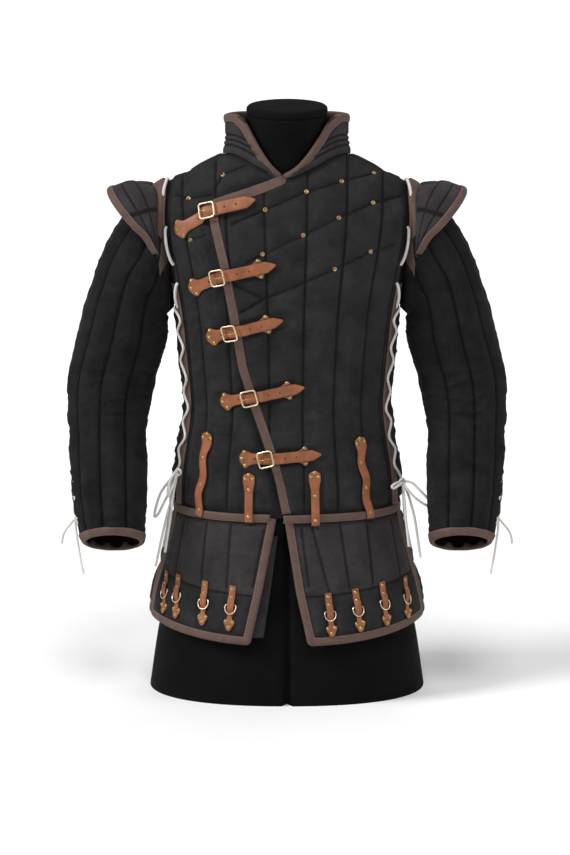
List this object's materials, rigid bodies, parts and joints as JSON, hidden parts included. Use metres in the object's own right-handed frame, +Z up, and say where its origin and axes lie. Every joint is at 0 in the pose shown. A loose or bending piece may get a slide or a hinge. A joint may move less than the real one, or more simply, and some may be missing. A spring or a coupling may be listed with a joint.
{
  "type": "gambeson on dress form",
  "caption": "Quilted knee-length arming coat with buckled front, laced sides and sleeves, shoulder wings and a ringed skirt hem, worn on a limbless dress form.",
  "frame": {"origin": "on the floor under the middle of the dress form, on the plane between its front and back", "axes": "+Z up along the body, the garment's front faces -Y, the wearer's left is +X"},
  "size_m": [0.736, 0.3451, 1.0051],
  "materials": {
    "twill": "matte black cotton twill, quilted",
    "canvas": "matte grey canvas, quilted",
    "trim": "matte brown suede-like binding, edge stitched",
    "strap_leather": "satin tan leather with darker burnished edges",
    "pale_brass": "worn satin pale brass",
    "lace": "soft off-white flat cotton lace",
    "form_cover": "matte black stretched jersey"
  },
  "bodies": {
    "garment": {"armhole_band_left": "trim", "armhole_band_right": "trim", "back": "twill", "buckle_1": "pale_brass", "buckle_2": "pale_brass", "buckle_3": "pale_brass", "buckle_4": "pale_brass", "buckle_5": "pale_brass", "cap_binding_left": "trim", "cap_binding_right": "trim", "cap_left": "canvas", "cap_right": "canvas", "closing_binding": "trim", "collar": "canvas", "collar_binding": "trim", "cuff_binding_left": "trim", "cuff_binding_right": "trim", "cuff_lace_left": "lace", "cuff_lace_right": "lace", "dress_form": "form_cover", "front_over": "twill", "front_under": "twill", "ring_tab_1": "strap_leather", "ring_tab_2": "strap_leather", "ring_tab_3": "strap_leather", "ring_tab_4": "strap_leather", "ring_tab_5": "strap_leather", "ring_tab_6": "strap_leather", "ring_tab_7": "strap_leather", "ring_tab_8": "strap_leather", "side_lace_left": "lace", "side_lace_right": "lace", "skirt_back": "canvas", "skirt_binding_back": "trim", "skirt_binding_front_over": "trim", "skirt_binding_front_under": "trim", "skirt_front_over": "canvas", "skirt_front_under": "canvas", "sleeve_left": "twill", "sleeve_right": "twill", "strap_1": "strap_leather", "strap_2": "strap_leather", "strap_3": "strap_leather", "strap_4": "strap_leather", "strap_5": "strap_leather", "under_flap": "twill", "waist_binding_back": "trim", "waist_binding_under": "trim", "waist_tab_long_over": "strap_leather", "waist_tab_long_under": "strap_leather", "waist_tab_short_over": "strap_leather", "waist_tab_short_under": "strap_leather"},
    "ring_1": {"hem_ring_1": "pale_brass"},
    "ring_2": {"hem_ring_2": "pale_brass"},
    "ring_3": {"hem_ring_3": "pale_brass"},
    "ring_4": {"hem_ring_4": "pale_brass"},
    "ring_5": {"hem_ring_5": "pale_brass"},
    "ring_6": {"hem_ring_6": "pale_brass"},
    "ring_7": {"hem_ring_7": "pale_brass"},
    "ring_8": {"hem_ring_8": "pale_brass"}
  },
  "joints": [
    {"name": "ring_1_swing", "type": "hinge", "parent": "garment", "child": "ring_1", "pos_m": [-0.20735, -0.07639, 0.18322], "axis": [-0.5439, 0.8128, -0.2086], "range_deg": [0, 150]},
    {"name": "ring_2_swing", "type": "hinge", "parent": "garment", "child": "ring_2", "pos_m": [-0.18632, -0.10349, 0.18304], "axis": [-0.7298, 0.6682, -0.1445], "range_deg": [0, 150]},
    {"name": "ring_3_swing", "type": "hinge", "parent": "garment", "child": "ring_3", "pos_m": [-0.14064, -0.13669, 0.17956], "axis": [-0.9053, 0.4224, -0.0453], "range_deg": [0, 150]},
    {"name": "ring_4_swing", "type": "hinge", "parent": "garment", "child": "ring_4", "pos_m": [-0.09448, -0.15397, 0.17506], "axis": [-0.9673, 0.2509, 0.0374], "range_deg": [0, 150]},
    {"name": "ring_5_swing", "type": "hinge", "parent": "garment", "child": "ring_5", "pos_m": [0.0721, -0.16195, 0.16502], "axis": [-0.9825, -0.1791, -0.0515], "range_deg": [0, 150]},
    {"name": "ring_6_swing", "type": "hinge", "parent": "garment", "child": "ring_6", "pos_m": [0.1191, -0.14855, 0.16992], "axis": [-0.9366, -0.347, -0.0483], "range_deg": [0, 150]},
    {"name": "ring_7_swing", "type": "hinge", "parent": "garment", "child": "ring_7", "pos_m": [0.16444, -0.12444, 0.17533], "axis": [-0.834, -0.551, 0.0293], "range_deg": [0, 150]},
    {"name": "ring_8_swing", "type": "hinge", "parent": "garment", "child": "ring_8", "pos_m": [0.203, -0.08742, 0.17595], "axis": [-0.6099, -0.7695, 0.1893], "range_deg": [0, 150]}
  ]
}
